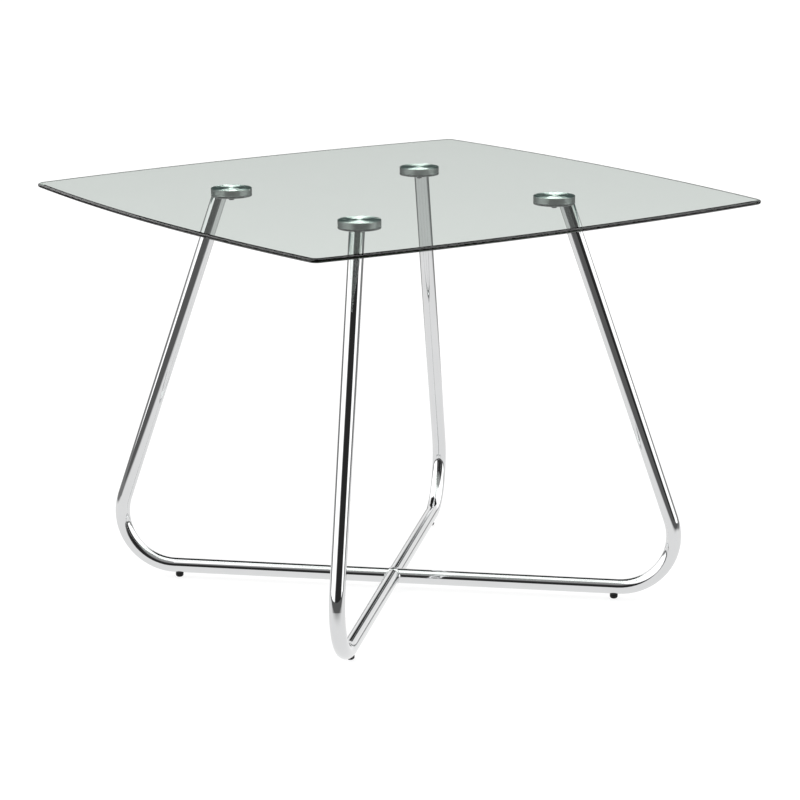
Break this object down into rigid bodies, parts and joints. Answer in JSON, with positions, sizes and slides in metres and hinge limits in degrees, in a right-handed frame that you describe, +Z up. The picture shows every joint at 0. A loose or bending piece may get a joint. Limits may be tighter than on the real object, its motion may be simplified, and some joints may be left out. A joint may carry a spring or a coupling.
{
  "type": "glass dining table",
  "caption": "Square glass-topped table on two crossed, bent tube frames, with discs glued under the glass and screw-in glides.",
  "frame": {"origin": "on the floor under the middle of the glass top", "axes": "+Z up; +X and +Y run along the sides of the top, and the two frames stand on its diagonals"},
  "size_m": [1.016, 1.016, 0.762],
  "materials": {
    "glass": "clear tempered glass, polished, faint green-grey tint, darker at the edge",
    "chrome": "bright chrome plate",
    "chrome_weld": "chrome-plated weld bead, slightly rippled",
    "spun_metal": "turned and polished, with fine circular marks on the face",
    "black_screw": "black oxide steel",
    "zinc_steel": "dull zinc plate",
    "black_plastic": "moulded black nylon, slightly satin"
  },
  "bodies": {
    "table": {"glass_top": "glass", "disc_left": "spun_metal", "disc_right": "spun_metal", "disc_front": "spun_metal", "disc_back": "spun_metal", "plate_left": "chrome", "plate_right": "chrome", "plate_front": "chrome", "plate_back": "chrome", "screw_left": "black_screw", "screw_right": "black_screw", "screw_front": "black_screw", "screw_back": "black_screw", "spring_washer_left": "zinc_steel", "spring_washer_right": "zinc_steel", "spring_washer_front": "zinc_steel", "spring_washer_back": "zinc_steel", "flat_washer_left": "zinc_steel", "flat_washer_right": "zinc_steel", "flat_washer_front": "zinc_steel", "flat_washer_back": "zinc_steel", "main_frame": "chrome", "half_frame_front": "chrome", "half_frame_back": "chrome", "weld_front": "chrome_weld", "weld_back": "chrome_weld", "insert_left": "zinc_steel", "insert_right": "zinc_steel", "insert_front": "zinc_steel", "insert_back": "zinc_steel"},
    "glide_left": {"pad_left": "black_plastic", "stud_left": "zinc_steel"},
    "glide_right": {"pad_right": "black_plastic", "stud_right": "zinc_steel"},
    "glide_front": {"pad_front": "black_plastic", "stud_front": "zinc_steel"},
    "glide_back": {"pad_back": "black_plastic", "stud_back": "zinc_steel"}
  },
  "joints": [
    {"name": "glide_left_travel", "type": "slide", "parent": "table", "child": "glide_left", "axis": [0, 0, -1], "range_m": [0, 0.008]},
    {"name": "glide_right_travel", "type": "slide", "parent": "table", "child": "glide_right", "axis": [0, 0, -1], "range_m": [0, 0.008]},
    {"name": "glide_front_travel", "type": "slide", "parent": "table", "child": "glide_front", "axis": [0, 0, -1], "range_m": [0, 0.008]},
    {"name": "glide_back_travel", "type": "slide", "parent": "table", "child": "glide_back", "axis": [0, 0, -1], "range_m": [0, 0.008]}
  ]
}
